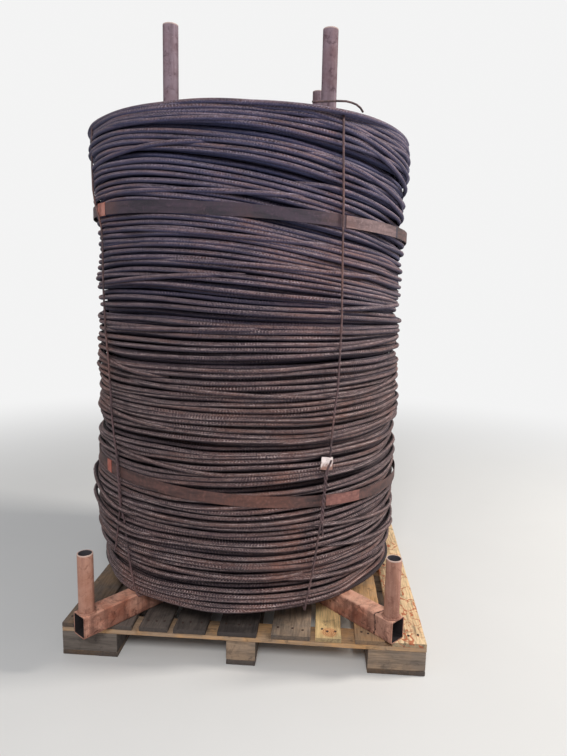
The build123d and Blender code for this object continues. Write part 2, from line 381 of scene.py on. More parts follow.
# Nail heads: three in a row across each deck board over each stringer board, rusted and a
# little proud of the wood. One is modelled, and all of them are copies of it.
nail_finish, tree, shader = new_material("rusted_nail", roughness=0.8)
nail_tone = cloudy(object_place(tree), 400, 4, 0.7)
paint(shader, mixed(nail_tone, tint(32, 27, 27), tint(84, 58, 48)))
bpy.ops.mesh.primitive_cylinder_add(vertices=12, radius=0.0042, depth=0.004)
first_nail = bpy.context.object
first_nail.data.materials.append(nail_finish)
nail_wander, nail_sink = 0.012, 0.0006
for number in range(1, 10):
    low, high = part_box(f"deck_board_{number}")
    for row in (1, 2, 3):
        across_low, across_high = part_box(f"stringer_board_{row}")
        for share in (0.2, 0.5, 0.8):
            wander = noise.noise_vector(Vector((number * 3.7, row * 5.1, share * 9))) * nail_wander
            nail = first_nail.copy()
            nail.data = first_nail.data.copy()
            nail.name = f"nail_{number}_{row}_{int(share * 10)}"
            across = low.x + (high.x - low.x) * share
            middle = (across_low.y + across_high.y) / 2
            nail.location = (across + wander.x, middle + wander.y, high.z - nail_sink)
            scene.collection.objects.link(nail)
            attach(nail, "root")
bpy.data.objects.remove(first_nail)


# Rack: box beams and pipes with red-oxide primer, dusty and rusted where it has worn, and a
# weld bead round the foot of each pipe.
primer_group, taken, given = new_group("worn primer", ("Place",), ("Primer", "Rust", "Dust"), ("Wear",))
mottle = cloudy(taken["Place"], 9, 6, 0.62, 0.4)
speckle = cloudy(taken["Place"], 120, 5, 0.7)
pitting = cloudy(taken["Place"], 42, 8, 0.74, 0.8)
runs = cloudy(placed(taken["Place"], scale=(30, 30, 2.2)), 1.0, 5, 0.66)
coat = mixed(ranged(mottle, 0.3, 0.72, 0.0, 0.8), taken["Primer"], taken["Dust"])
coat = mixed(ranged(runs, 0.42, 0.68, 0.0, 0.6), coat, taken["Rust"])
worn = product(ranged(pitting, 0.52, 0.66), taken["Wear"])
coat = mixed(worn, coat, taken["Rust"])
coat = mixed(ranged(speckle, 0.58, 0.7, 0.0, 0.5), coat, taken["Dust"])
link(coat, given["Colour"])
link(ranged(pitting, 0.35, 0.7, 0.62, 0.92), given["Roughness"])
link(less(speckle, product(worn, 0.9)), given["Height"])


def primer_finish(name, primer, rust, dust, wear, seed, rim):
    """Worn primer on a steel section, rubbed pale above the height of a pipe's rim."""
    made, tree, shader = new_material(name, specular=0.35)
    values = {"Place": object_place(tree, (seed * 2.7, seed * 1.3, seed * 0.7))}
    values |= {"Primer": primer, "Rust": rust, "Dust": dust, "Wear": wear}
    group = add_node(tree, "Group", values, node_tree=primer_group)
    join_surface(shader, group, 0.0007, 0.8)
    height = parts(object_place(tree))["Z"]
    rubbed = product(ranged(height, rim - 0.005, rim - 0.001), 0.7)
    tone = mixed(rubbed, group.outputs["Colour"], tint(222, 196, 184))
    paint(shader, tone)
    return made, tree, shader, tone


rack_x, rack_y = -0.046, 0.0
hollow_half_width, hollow_half_height, beam_half_height = 0.0284, 0.0348, 0.0381
pipe_hollow, weld_radius, weld_grip, weld_roughness = 0.0222, 0.0042, 0.0015, 0.0022
beam_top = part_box("rack_beam")[1].z
stub_rim, post_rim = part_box("rack_stub_front_left")[1].z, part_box("rack_post_front_left")[1].z
red_primer, primer_rust, primer_dust = tint(188, 116, 90), tint(84, 48, 40), tint(236, 184, 160)


def beam_finish(name, wear, seed, bearing, dusting):
    """Primer of a box beam that runs along a bearing: dust and painted light on top, painted
    shade at its sides, and painted shade, nearly black, inside."""
    made, tree, shader, tone = primer_finish(name, red_primer, primer_rust, primer_dust, wear, seed, 1.0)
    facing = facing_parts(tree)["Z"]
    rubbed = ranged(cloudy(object_place(tree), 16, 7, 0.68, 0.8), 0.4, 0.56, 0.35, 1.0)
    shaded_side = product(ranged(facing, 0.7, 0.2, 0.0, 0.56), rubbed)
    tone = mixed(shaded_side, tone, tint(72, 40, 34))
    # Dust and painted light: the top is painted paler.
    top_dust_and_light = product(ranged(facing, 0.6, 0.95, 0.0, dusting), rubbed)
    tone = mixed(top_dust_and_light, tone, tint(226, 176, 150))
    place = parts(object_place(tree))
    aside = product(less(place["X"], rack_x), sin(bearing))
    aside = apart(aside, product(less(place["Y"], rack_y), cos(bearing)))
    aloft = apart(place["Z"], beam_top - beam_half_height)
    # Painted shade: the inside of the box is painted nearly black.
    hollow = product(
        ranged(aside, hollow_half_width, hollow_half_width - 0.001),
        ranged(aloft, hollow_half_height, hollow_half_height - 0.001),
    )
    tone = mixed(hollow, tone, tint(34, 27, 28))
    paint(shader, tone)
    return made, tree, shader, tone


through_bearing, arm_bearing = radians(52.8), radians(-44.2)
# The through beam gets a less pale top than the arms: painted shade.
beam_primer, *_ = beam_finish("beam_primer", 0.8, 1, through_bearing, 0.15)
arm_primer, *_ = beam_finish("arm_primer", 0.8, 9, arm_bearing, 0.6)
cut_primer, tree, shader, tone = beam_finish("cut_beam_primer", 0.9, 5, arm_bearing, 0.6)

# The front right arm was cut and closed again near its end: a ragged dark seam goes across its
# top and down its sides.
seam_reach = 0.712
place = parts(object_place(tree))
along = product(less(place["X"], rack_x), cos(arm_bearing))
along = total(along, product(less(place["Y"], rack_y), sin(arm_bearing)))
ragged = product(less(cloudy(object_place(tree), 38, 4), 0.5), 0.03)
off_seam = apart(total(along, ragged), seam_reach)
seam = product(ranged(off_seam, 0.0034, 0.0012), 0.9)
paint(shader, mixed(seam, tone, tint(44, 26, 24)))


def dress(node, finish):
    """Give a CAD node its finish."""
    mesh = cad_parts[node].data
    mesh.materials.clear()
    mesh.materials.append(finish)


dress("rack_beam", beam_primer)
dress("rack_arm_front_right", cut_primer)
dress("rack_arm_back_left", arm_primer)
pipe_tones = {
    "stub": (tint(166, 116, 96), tint(104, 66, 56), tint(200, 156, 138), 0.5, 2, stub_rim),
    "post": (tint(116, 86, 90), tint(72, 52, 58), tint(152, 134, 144), 0.7, 3, post_rim),
}
for place in ("front_left", "front_right", "back_left", "back_right"):
    for kind, tones in pipe_tones.items():
        finish, tree, shader, tone = primer_finish(f"{kind}_primer_{place}", *tones)
        low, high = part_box(f"rack_{kind}_{place}")
        pipe_x, pipe_y = (low.x + high.x) / 2, (low.y + high.y) / 2
        off_axis = how_far(object_place(tree, (-pipe_x, -pipe_y, 0), (1, 1, 0)))
        hollow = ranged(off_axis, pipe_hollow, pipe_hollow - 0.0005)
        paint(shader, mixed(hollow, tone, tint(74, 70, 74)))
        dress(f"rack_{kind}_{place}", finish)
        bpy.ops.mesh.primitive_torus_add(
            location=(pipe_x, pipe_y, beam_top + 0.001),
            major_radius=(high.x - low.x) / 2 + weld_grip,
            minor_radius=weld_radius,
            major_segments=56,
            minor_segments=8,
        )
        bead = bpy.context.object
        bead.name = f"weld_{kind}_{place}"
        bpy.ops.object.transform_apply()
        for vertex in bead.data.vertices:
            vertex.co += noise.noise_vector(vertex.co * 190) * weld_roughness
        bpy.ops.object.shade_smooth()
        bead.data.materials.append(finish if kind == "stub" else arm_primer)
        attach(bead, "root")


# Coil: one length of hot-rolled ribbed bar, wound turn on turn and rusted. The turns lie in
# bundles with deep gaps between them, lean down to the right near the top, and wander.
coil_low, coil_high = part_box("rebar_coil")
axis_x, axis_y = (coil_low.x + coil_high.x) / 2, (coil_low.y + coil_high.y) / 2
outer_radius = (coil_high.x - coil_low.x) / 2
bore_radius = 0.445
bar_radius = 0.0079
turn_pitch = 0.0156
front_bearing = radians(-83)
# Near both ends, within this height of them, the turns wander less.
end_zone = 0.12
# Heights at the front where the turns part.
gap_heights = (
    0.222, 0.252, 0.281, 0.325, 0.371, 0.398, 0.437, 0.468, 0.526, 0.563, 0.611, 0.666, 0.692,
    0.746, 0.815, 0.865, 0.897, 0.928, 0.969, 1.012, 1.04, 1.083, 1.152, 1.214, 1.245, 1.286,
    1.345, 1.38, 1.412, 1.469, 1.525, 1.607, 1.696,
)
wide_gaps = (0.281, 0.611, 0.746, 1.012, 1.152, 1.214, 1.469, 1.607, 1.696)
narrow_gap, wide_gap = 0.0028, 0.0120
# Turns nearer to a gap than its reach lie up to this much deeper, so that its edges are round.
gap_depth, gap_reach = 0.008, 0.020
# Each list gives values for heights: the lean in degrees, and in millimetres how far the coil
# swells at both sides and is drawn in elsewhere.
lean_by_height = (
    (0.19, 0.0), (1.0, 0.0), (1.12, 0.5), (1.25, 2.0), (1.43, 3.4), (1.6, 4.8), (1.7, 3.8), (1.785, 1.0),
)
left_bulge = (
    (0.19, -12), (0.29, -4), (0.41, 16), (0.56, 9), (0.76, -2), (1.0, -4), (1.3, -8), (1.47, -13),
    (1.6, 3), (1.74, 11), (1.79, 8),
)
right_bulge = (
    (0.19, -20), (0.27, -11), (0.35, 0), (0.56, -5), (0.78, -1), (1.06, -3), (1.17, -10), (1.48, -5),
    (1.6, -2), (1.67, 7), (1.78, -5),
)
drawn_in = ((0.7, 0), (0.76, 3), (1.13, 4), (1.18, 9), (1.38, 9), (1.43, 0))
# How far, in millimetres, turns sag at the right for their height at the front.
sag_by_height = (
    (0.19, 0), (0.36, 0), (0.45, -28), (0.66, -30), (0.8, 0), (0.95, 4), (1.02, -16), (1.1, 0), (1.2, 38),
    (1.262, 52), (1.366, 72), (1.48, 98), (1.572, 98), (1.62, 74), (1.705, 44), (1.74, 20), (1.77, 2),
)
# Height and tilt of each band. Turns beneath a band lie tight under it, and those beside it
# ease outwards from it.
bands = {"band_upper": (1.475, 2.9), "band_lower": (0.583, 3.9)}
tight_half_width, easing_width, easing_depth = 0.026, 0.04, 0.03
under_band = outer_radius - bar_radius - 0.0005
left_side, right_side = radians(-158), radians(-8)


def between(points, place):
    """Value at a place along listed places and values."""
    for (start, value), (end, next_value) in zip(points, points[1:]):
        if place <= end:
            return value + (next_value - value) * max(0.0, (place - start) / (end - start))
    return points[-1][1]


def drift(bearing, scale, third):
    """Smooth random value round the coil, from about -0.5 to 0.5."""
    return noise.noise(Vector((cos(bearing) * scale, sin(bearing) * scale, third)))


def side_shares(bearing):
    """How near a bearing is to the left and to the right side, each from nothing to one."""
    return [max(0.0, cos(bearing - side)) ** 4 for side in (left_side, right_side)]


def surface_radius(bearing, height):
    """Outside of the coil at a bearing and height."""
    left, right = side_shares(bearing)
    bulge = left * between(left_bulge, height) + right * between(right_bulge, height)
    bulge -= max(0.0, 1 - left - right) * between(drawn_in, height)
    return outer_radius + bulge / 1000


def right_share(bearing):
    """One where the turns sag most, at the right, and nothing at the left and behind."""
    return ((1 + cos(bearing + radians(10))) / 2) ** 4.6


def off_band(band, bearing, height):
    """How far a height is from a band's middle line, which leans across the coil."""
    middle, tilt = bands[band]
    return height - middle + tan(radians(tilt)) * outer_radius * cos(bearing)


def turn_place(bearing, base, seed, depth):
    """Radius and height of a turn's middle at a bearing."""
    calm = min(1.0, (base - coil_low.z) / end_zone, (coil_high.z - base) / end_zone)
    calm = max(0.15, calm)
    lean = tan(radians(between(lean_by_height, base)))
    sag = between(sag_by_height, base) / 1000 * (right_share(bearing) - right_share(front_bearing))
    height = base - lean * outer_radius * cos(bearing) - sag
    height += calm * (0.016 * drift(bearing, 1.0, base * 5) + 0.0055 * drift(bearing, 1.7, seed * 5.1))
    height = min(max(height, coil_low.z + bar_radius), coil_high.z - bar_radius + 0.010)
    radius = surface_radius(bearing, height) - bar_radius - depth
    radius += 0.014 * drift(bearing, 2.4, base * 14 + 40) + 0.010 * drift(bearing, 2.0, seed * 3.7 + 90)
    if depth < bar_radius:
        radius -= (0.008 + 0.05 * abs(sag)) * right_share(bearing) * (0.5 - 0.5 * cos(pi * seed))
        for band in bands:
            beside = abs(off_band(band, bearing, height)) - tight_half_width
            ease = min(1.0, max(0.0, beside / easing_width))
            radius = min(radius, under_band + ease * easing_depth)
    return radius, height


def new_piece(name, corners, faces, finish):
    """Piece with the given corners and faces."""
    mesh = bpy.data.meshes.new(name)
    mesh.from_pydata(corners, [], faces)
    mesh.materials.append(finish)
    piece = bpy.data.objects.new(name, mesh)
    scene.collection.objects.link(piece)
    return piece


def tube_faces(rings, sides):
    """Faces of a closed tube whose corners are listed ring by ring."""
    faces = []
    for ring in range(rings - 1):
        low, high = ring * sides, (ring + 1) * sides
        for side in range(sides):
            after = (side + 1) % sides
            faces.append((low + side, high + side, high + after, low + after))
    for ring, order in ((0, 1), (rings - 1, -1)):
        faces.append([ring * sides + side for side in range(sides)][::order])
    return faces


def lay_bar(name, path, finish, sides=8, facing=0.0):
    """Length of the coil's bar along bearings, radii and heights. Its UV map is its length and,
    round it, 0 where it faces out of the coil."""
    corners, places, run, last = [], [], 0.0, None
    for bearing, distance, height in path:
        outward = Vector((cos(bearing), sin(bearing), 0))
        middle = Vector((axis_x, axis_y, height)) + outward * distance
        run += (middle - last).length if last else 0.0
        last = middle
        places.append(run)
        for side in range(sides):
            turn = 2 * pi * side / sides
            corners.append(middle + (outward * cos(turn) + Vector((0, 0, sin(turn)))) * bar_radius)
    uvs = []
    for ring in range(len(path) - 1):
        for side in range(sides):
            near, far = side / sides - facing, (side + 1) / sides - facing
            for along, around in ((ring, near), (ring + 1, near), (ring + 1, far), (ring, far)):
                uvs.extend((places[along], around))
    uvs.extend((places[0], 0.5) * sides + (places[-1], 0.5) * sides)
    piece = new_piece(name, corners, tube_faces(len(path), sides), finish)
    piece.data.uv_layers.new(name="bar").data.foreach_set("uv", uvs)
    piece.data.shade_smooth()
    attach(piece, "root")
    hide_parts("rebar_coil")


rust_group, taken, given = new_group(
    "scaled rust", ("Place", "Streak"), ("Deep", "Main", "Warm", "Dust"), ("Dusting",)
)
broad = cloudy(taken["Place"], 2.6, 5, 0.6, 0.4)
patch = cloudy(taken["Streak"], 1.0, 6, 0.66, 0.3)
fine = cloudy(taken["Place"], 95, 5, 0.7)
scale_tone = mixed(ranged(patch, 0.34, 0.62), taken["Deep"], taken["Main"])
scale_tone = mixed(ranged(broad, 0.5, 0.7, 0.0, 0.8), scale_tone, taken["Warm"])
scale_tone = mixed(ranged(fine, 0.3, 0.55, 0.5, 0.0), scale_tone, taken["Deep"])
dusty = product(ranged(fine, 0.5, 0.72), taken["Dusting"])
scale_tone = mixed(dusty, scale_tone, taken["Dust"])
link(scale_tone, given["Colour"])
link(ranged(fine, 0.3, 0.7, 0.62, 0.9), given["Roughness"])
link(fine, given["Height"])


def rusted(deep, main, warm, dust, dusting, streak):
    """Scaled rust with its own colours in the material that its streaks belong to."""
    tree = streak.id_data
    values = {"Place": object_place(tree), "Streak": streak, "Deep": deep, "Main": main, "Warm": warm}
    values |= {"Dust": dust, "Dusting": dusting}
    return add_node(tree, "Group", values, node_tree=rust_group)


bar_finish, tree, shader = new_material("ribbed_bar", specular=0.3)
bar_place = add_node(tree, "UVMap", uv_map="bar").outputs[0]
along_bar = parts(bar_place)
streak = placed(bar_place, scale=(4.5, 0.6, 1))
turn_tone = cloudy(placed(bar_place, scale=(0.55, 0, 1)), 1.0, 2, 0.5)
high_up = ranged(parts(object_place(tree))["Z"], 0.85, 1.65)


def by_height(low, high):
    """Tone that changes from the coil's lower half to its top."""
    return mixed(high_up, tint(*low), tint(*high))


# Towards the top the main tones turn bluer and more purple: a painted tint of sky-lit shade.
main_tone = by_height((70, 47, 50), (98, 82, 97))
lilac = ranged(cloudy(streak, 0.8, 4, 0.6, 0.3), 0.45, 0.62, 0.0, 0.6)
main_tone = mixed(lilac, main_tone, by_height((88, 69, 76), (104, 98, 122)))
warm_tone = by_height((120, 71, 54), (132, 92, 82))
earthy = ranged(cloudy(streak, 1.6, 3, 0.5, 0.2), 0.56, 0.66, 0.0, 0.6)
main_tone = mixed(earthy, main_tone, by_height((102, 77, 66), (128, 108, 102)))
main_tone = mixed(ranged(turn_tone, 0.38, 0.58, 0.0, 0.55), main_tone, tint(56, 45, 54))
brown_turns = cloudy(placed(bar_place, (31, 0, 0), (1.1, 0, 1)), 1.0, 3, 0.6)
brown_turns = ranged(brown_turns, 0.47, 0.6, 0.0, 0.85)
main_tone = mixed(brown_turns, main_tone, by_height((100, 64, 54), (124, 90, 82)))
rust = rusted(tint(44, 33, 42), main_tone, warm_tone, tint(166, 134, 130), 0.30, streak)
# Slanting ribs go round each half of the bar, and a ridge runs along between the halves.
rib_pitch, rib_slant = 0.0100, 0.018
roll = total(along_bar["Y"], product(turn_tone, 2.0))
half_turn = mathematics("PINGPONG", roll, 0.25)
rib_place = total(along_bar["X"], product(half_turn, rib_slant))
rib_place = mathematics("DIVIDE", rib_place, rib_pitch)
rib_place = total(rib_place, product(cloudy(bar_place, 1.7, 2), 14.0))
rib_wave = mathematics("SINE", product(rib_place, 2 * pi))
ridge = ranged(half_turn, 0.035, 0.0)
relief = mathematics("MAXIMUM", ranged(rib_wave, 0.3, 0.98), ridge)
one_by_one = placed(bar_place, scale=(1, 0.1, 1))
bright_ribs = ranged(cloudy(one_by_one, 75, 2, 0.7), 0.36, 0.62, 0.25, 1.0)
rubbed = ranged(cloudy(streak, 2.3, 3), 0.35, 0.65, 0.35, 0.85)
rubbed = product(product(relief, rubbed), bright_ribs)
# The crests of the ribs and the ridge are painted paler, whiter low on the coil: rubbed rust and painted
# highlights.
tone = mixed(rubbed, rust.outputs["Colour"], by_height((220, 196, 192), (176, 162, 180)))
specks = ranged(cloudy(object_place(tree), 300, 2, 0.6), 0.52, 0.66, 0.0, 0.55)
tone = mixed(specks, tone, by_height((160, 128, 118), (158, 146, 164)))
pits = ranged(cloudy(object_place(tree, (3, 5, 7)), 260, 2, 0.6), 0.54, 0.66, 0.0, 0.7)
tone = mixed(pits, tone, tint(36, 27, 32))
# Painted shade: the underside of each bar is painted dark, bluer towards the top. Dirt and painted shade
# darken the lines where neighbouring turns touch.
painted_underside_shade = ranged(facing_parts(tree)["Z"], 0.2, -0.6, 0.0, 0.72)
tone = mixed(painted_underside_shade, tone, by_height((30, 24, 38), (60, 64, 98)))
outward = mathematics("PINGPONG", along_bar["Y"], 0.5)
grime_and_shade_share = less(0.88, product(high_up, 0.2))
grime_and_shade_between_turns = product(ranged(outward, 0.19, 0.25), grime_and_shade_share)
tone = mixed(grime_and_shade_between_turns, tone, by_height((26, 20, 26), (42, 44, 66)))
paint(shader, tone)
link(rust.outputs["Roughness"], shader.inputs["Roughness"])
rough_relief = total(relief, product(rust.outputs["Height"], 0.35))
bump = add_node(tree, "Bump", {"Height": rough_relief, "Distance": 0.0009})
link(bump.outputs[0], shader.inputs["Normal"])

# Turns that lie deeper in get a copy of the bar's finish mixed halfway to dark blue-grey: painted shade.
shaded_bar_finish = bar_finish.copy()
shaded_bar_finish.name = "shaded_bar"
tree = shaded_bar_finish.node_tree
shader = next(node for node in tree.nodes if node.type == "BSDF_PRINCIPLED")
tone = shader.inputs["Base Color"].links[0].from_socket
high_up = ranged(parts(object_place(tree))["Z"], 0.85, 1.65)
paint(shader, mixed(0.5, tone, by_height((44, 36, 46), (62, 70, 108))))


def passed(heights, turn):
    """Height after a number of turns that pass the listed heights one by one."""
    index = min(int(turn), len(heights) - 2)
    return heights[index] + (heights[index + 1] - heights[index]) * (turn - index)


def winding(heights, depth, segments, seed):
    """Path that passes the listed heights at the front, one more after each turn."""
    path = []
    for step in range((len(heights) - 1) * segments + 1):
        turn = step / segments
        base = passed(heights, turn)
        bearing = front_bearing + 2 * pi * turn
        inward = gap_depth * max(0.0, 1 - min(abs(base - gap) for gap in gap_heights) / gap_reach)
        # Behind the outer turns the next ones lie closer at both sides and close the gaps.
        closer = 0.008 * sum(side_shares(bearing)) if depth else 0.0
        radius, height = turn_place(bearing, base, turn + seed, depth + inward - closer)
        path.append((bearing, radius, height))
    return path


outer_turns = []
edges = (coil_low.z, *gap_heights, coil_high.z)
for low, high in zip(edges, edges[1:]):
    low_gap = wide_gap if low in wide_gaps else narrow_gap
    high_gap = wide_gap if high in wide_gaps else narrow_gap
    room = high - low - low_gap - high_gap
    count = max(1, round(room / turn_pitch))
    for number in range(count):
        outer_turns.append(low + low_gap + room * (number + 0.5) / count)
# The outer winding starts and ends behind the coil, half a turn from the front.
segments = 120
outer_path = winding([outer_turns[0], *outer_turns, outer_turns[-1]], 0.0, segments, 0.0)
outer_path = outer_path[segments // 2 : -segments // 2]
third = len(outer_turns) // 3 * segments
shares = (("low", 0, third + 1), ("middle", third, 2 * third + 1), ("high", 2 * third, None))
for name, start, end in shares:
    lay_bar(f"turns_{name}", outer_path[start:end], bar_finish)


def even_heights(pitch, inset=0.0):
    """Heights of evenly wound turns from the bottom to the top."""
    low, high = coil_low.z + bar_radius + inset, coil_high.z - bar_radius - inset
    count = int((high - low) / pitch)
    return [low + (high - low) * number / count for number in range(count + 1)]


for name, pitch, inset, depth, segments, seed, sides in (
    ("behind", 0.0172, 0.0, 0.0205, 84, 300.0, 6),
    ("deep", 0.0195, 0.01, 0.040, 60, 500.0, 5),
    ("core", 0.0166, 0.004, 0.060, 48, 700.0, 5),
):
    path = winding(even_heights(pitch, inset), depth, segments, seed)
    lay_bar(f"turns_{name}", path, shaded_bar_finish, sides)
bore_path, segments = [], 72
bore_turns = even_heights(0.0170)
for step in range((len(bore_turns) - 1) * segments + 1):
    turn = step / segments
    out = abs(0.012 * drift(2 * pi * turn, 2.2, turn * 4.3))
    bore_path.append((2 * pi * turn, bore_radius + bar_radius + out, passed(bore_turns, turn)))
lay_bar("turns_bore", bore_path, bar_finish, 6, 0.5)


def end_turns(height, inner, outer, count, sag, segments, seed):
    """Flat spiral of turns on an end of the coil."""
    path = []
    for step in range(count * segments + 1):
        turn = step / segments
        bearing = 2 * pi * turn
        radius = inner + (outer - inner) * turn / count
        radius += 0.008 * drift(bearing, 1.8, turn * 3.3 + seed)
        radius = min(max(radius, bore_radius + bar_radius), outer_radius - bar_radius)
        path.append((bearing, radius, height - sag * abs(drift(bearing, 1.6, turn * 4.7 + seed))))
    return path


top_middle, low_middle = coil_high.z - bar_radius, coil_low.z + bar_radius
inner, outer = bore_radius + bar_radius, outer_radius - 2.4 * bar_radius
for name, height, start, sag, segments, seed, sides, facing in (
    ("top", top_middle, inner, 0.014, 100, 11.0, 8, 0.25),
    ("top_second", top_middle - 0.015, inner + 0.008, 0.014, 80, 31.0, 6, 0.25),
    ("bottom", low_middle, inner, -0.006, 80, 51.0, 6, 0.75),
):
    path = end_turns(height, start, outer, 9, sag, segments, seed)
    lay_bar(f"turns_{name}", path, bar_finish, sides, facing)

# Turns that cross over their neighbours: bearings, heights and how far in millimetres each
# stands out between its ends, which go in among the turns.
hidden_depth = 0.022
crossings = (
    (-82, -6, 1.772, 1.672, 6), (-72, -6, 1.745, 1.645, 7), (-66, -4, 1.715, 1.600, 6),
    (-78, -8, 1.655, 1.545, 5), (-64, -8, 1.600, 1.500, 7), (-70, -12, 1.560, 1.488, 5),
    (-160, -70, 1.745, 1.728, 5), (-165, -95, 1.645, 1.672, 4), (-150, -60, 1.545, 1.520, 5),
    (-140, -50, 1.430, 1.380, 5), (-120, -30, 1.330, 1.290, 4), (-165, -85, 1.250, 1.285, 4),
    (-60, -5, 1.185, 1.200, 5), (-150, -75, 1.105, 1.120, 6), (-75, -4, 1.055, 1.085, 7),
    (-162, -110, 1.015, 0.960, 6), (-130, -50, 0.935, 0.905, 5), (-60, -4, 0.900, 0.940, 5),
    (-165, -100, 0.830, 0.795, 6), (-80, -10, 0.760, 0.800, 6), (-150, -80, 0.700, 0.655, 5),
    (-55, -5, 0.650, 0.690, 6), (-170, -120, 0.560, 0.475, 16), (-168, -112, 0.480, 0.420, 15),
    (-70, -4, 0.480, 0.430, 6), (-60, -2, 0.395, 0.350, 8), (-145, -60, 0.335, 0.310, 5),
    (-75, -10, 0.300, 0.260, 5), (10, 95, 1.62, 1.58, 5), (40, 150, 1.30, 1.36, 6),
    (20, 120, 1.02, 0.97, 5), (60, 170, 0.72, 0.78, 6), (5, 110, 0.45, 0.40, 6),
    (80, 175, 1.70, 1.66, 5), (70, 160, 0.30, 0.34, 5), (15, 90, 0.86, 0.90, 6),
    (-100, 20, 1.777, 1.762, -1), (-92, 25, 1.768, 1.742, 1), (-84, 15, 1.758, 1.712, 2),
)
for number, (start, end, low, high, stand) in enumerate(crossings, start=1):
    path = []
    steps = int(abs(end - start) / 3)
    for step in range(steps + 1):
        share = step / steps
        bearing = radians(start + (end - start) * share)
        height = low + (high - low) * share * share * (3 - 2 * share)
        out = (hidden_depth + stand / 1000) * sin(min(1.0, 4 * min(share, 1 - share)) * pi / 2)
        radius = surface_radius(bearing, height) - bar_radius - hidden_depth + out
        if any(abs(off_band(band, bearing, height)) < 0.03 for band in bands):
            radius = min(radius, under_band)
        path.append((bearing, radius, height))
    lay_bar(f"crossing_turn_{number}", path, bar_finish)


# The outermost turn at the top lies over the front right rod, which comes out from under it.
over_path = []
rod_bearing, hump_out, hump_down, inset = radians(-56.6), 0.0275, 0.007, 0.004
for step in range(41):
    bearing = radians(-118 + 2.7 * step)
    hump = max(0.0, cos((bearing - rod_bearing) * 2.2)) ** 3
    radius = outer_radius - bar_radius - inset + hump_out * hump
    over_path.append((bearing, radius, coil_high.z - bar_radius - inset - hump_down * hump))
lay_bar("turn_over_rod", over_path, bar_finish)


# Bands: flat strip steel drawn tight round the turns, rusted like them, and each closed by a
# folded seal with worn orange-red paint.
band_finishes = []
for name, deep, main, warm, dust in (
    ("dark_strip", tint(32, 26, 36), tint(62, 48, 60), tint(92, 62, 60), tint(110, 92, 102)),
    ("reddish_strip", tint(48, 32, 32), tint(88, 60, 56), tint(112, 70, 58), tint(148, 110, 102)),
    # Painted light: the band ends are painted paler than the bands.
    ("lit_strip_end", tint(78, 56, 58), tint(122, 98, 98), tint(140, 102, 94), tint(182, 158, 156)),
    ("lit_reddish_end", tint(84, 52, 50), tint(134, 88, 80), tint(146, 90, 72), tint(178, 132, 122)),
):
    finish, tree, shader = new_material(name)
    streak = object_place(tree, (4, 7, 0), (7, 7, 40))
    join_surface(shader, rusted(deep, main, warm, dust, 0.35, streak), 0.0004)
    band_finishes.append(finish)
dark_strip, reddish_strip, lit_strip_end, lit_reddish_end = band_finishes
dress("band_upper", dark_strip)
dress("band_lower", reddish_strip)


def round_coil(bearing, distance, height):
    """Point at a bearing in degrees, a distance from the coil's axis and a height."""
    turn = radians(bearing)
    return Vector((axis_x + cos(turn) * distance, axis_y + sin(turn) * distance, height))


def strip_round(name, band, start, end, section, waviness, finish):
    """Bent sheet that follows a band from one bearing to another. The section lists how far its
    corners stand out of the band and how high they are above the band's middle line."""
    corners = []
    steps = 24
    for step in range(steps + 1):
        bearing = start + (end - start) * step / steps
        middle = -off_band(band, radians(bearing), 0.0)
        for out, rise in section:
            wave = waviness * noise.noise(Vector((step * 0.55, rise * 60, start)))
            corners.append(round_coil(bearing, band_outer + out + max(0.0, wave), middle + rise + wave))
    piece = new_piece(name, corners, tube_faces(steps + 1, len(section)), finish)
    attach(piece, "root")
    return piece


band_outer = outer_radius + 0.0016
end_section = ((0.0002, -0.0185), (0.0015, -0.0185), (0.0015, 0.0185), (0.0002, 0.0185))
for name, band, start, end, waviness, finish in (
    ("band_end_upper", "band_upper", -54.0, -28.0, 0.0006, lit_strip_end),
    ("band_end_lower", "band_lower", -58.0, -44.0, 0.0006, lit_reddish_end),
    ("band_crimp", "band_upper", -28.0, -26.4, 0.0004, dark_strip),
    ("band_tail_upper", "band_upper", -26.4, -8.0, 0.0006, reddish_strip),
):
    strip_round(name, band, start, end, end_section, waviness, finish)

# Each seal is a strip folded over the band's edges, a little crushed where it was crimped.
seal_finish, *_ = primer_finish(
    "seal_paint", tint(176, 92, 76), tint(108, 54, 46), tint(206, 152, 138), 0.6, 7, 9.0
)
seal_section = (
    (-0.0021, -0.0155), (-0.0021, -0.0214), (0.0016, -0.0214), (0.0019, -0.012), (0.0018, 0.0),
    (0.0019, 0.012), (0.0016, 0.0214), (-0.0021, 0.0214), (-0.0021, 0.0155), (-0.0016, 0.0155),
    (-0.0016, 0.0200), (0.0003, 0.0200), (0.0003, -0.0200), (-0.0016, -0.0200), (-0.0016, -0.0155),
)
for node, start, end in (("seal_upper", -144.6, -137.8), ("seal_lower", -140.5, -137.1)):
    name, band = f"folded_{node}", node.replace("seal", "band")
    seal = strip_round(name, band, start, end, seal_section, 0.0006, seal_finish)
    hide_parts(node)


# Tie rods: drawn steel rod bent round the coil's wall, with the two ends twisted together low
# on the outside. A small blank tag is folded round the front right one.
rod_finish, tree, shader = new_material("rusted_rod")
streak = object_place(tree, (9, 2, 0), (30, 30, 9))
rod_tones = (tint(50, 38, 42), tint(92, 68, 70), tint(116, 80, 72), tint(160, 130, 126))
join_surface(shader, rusted(*rod_tones, 0.45, streak), 0.0004)
rod_radius = 0.00325
rod_reach = band_outer + 0.0019 + rod_radius
rod_inside = bore_radius - 0.0003 - rod_radius
rod_over = coil_high.z + 0.0003 + rod_radius
rod_under = coil_low.z - 0.0003 - rod_radius


